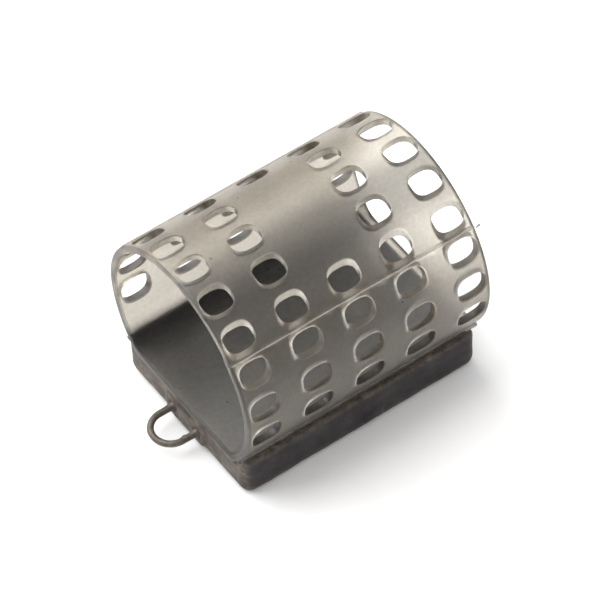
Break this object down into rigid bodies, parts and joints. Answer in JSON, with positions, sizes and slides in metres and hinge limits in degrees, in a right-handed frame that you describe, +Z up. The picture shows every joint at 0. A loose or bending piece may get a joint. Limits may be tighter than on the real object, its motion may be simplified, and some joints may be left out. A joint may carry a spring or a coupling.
{
  "type": "open-end feeder",
  "caption": "Open-end feeder: a see-through smoke-grey plastic tube full of small holes, with a flat floor, a dark cast weight under it and a wire eye at one end.",
  "frame": {"origin": "underside of the weight, at mid-length and mid-width of the cage", "axes": "+X along the cage, away from the wire eye; +Y across it; +Z up, from the weight to the crown of the cage"},
  "size_m": [0.0414, 0.03, 0.0307],
  "materials": {
    "smoke_plastic": "see-through smoke grey, lightly frosted",
    "painted_lead": "near-black paint, satin, worn brown at the edges",
    "eye_wire": "thin brown-grey paint over steel wire"
  },
  "bodies": {
    "root": {"cage": "smoke_plastic", "weight": "painted_lead", "wire_eye": "eye_wire"}
  },
  "joints": []
}
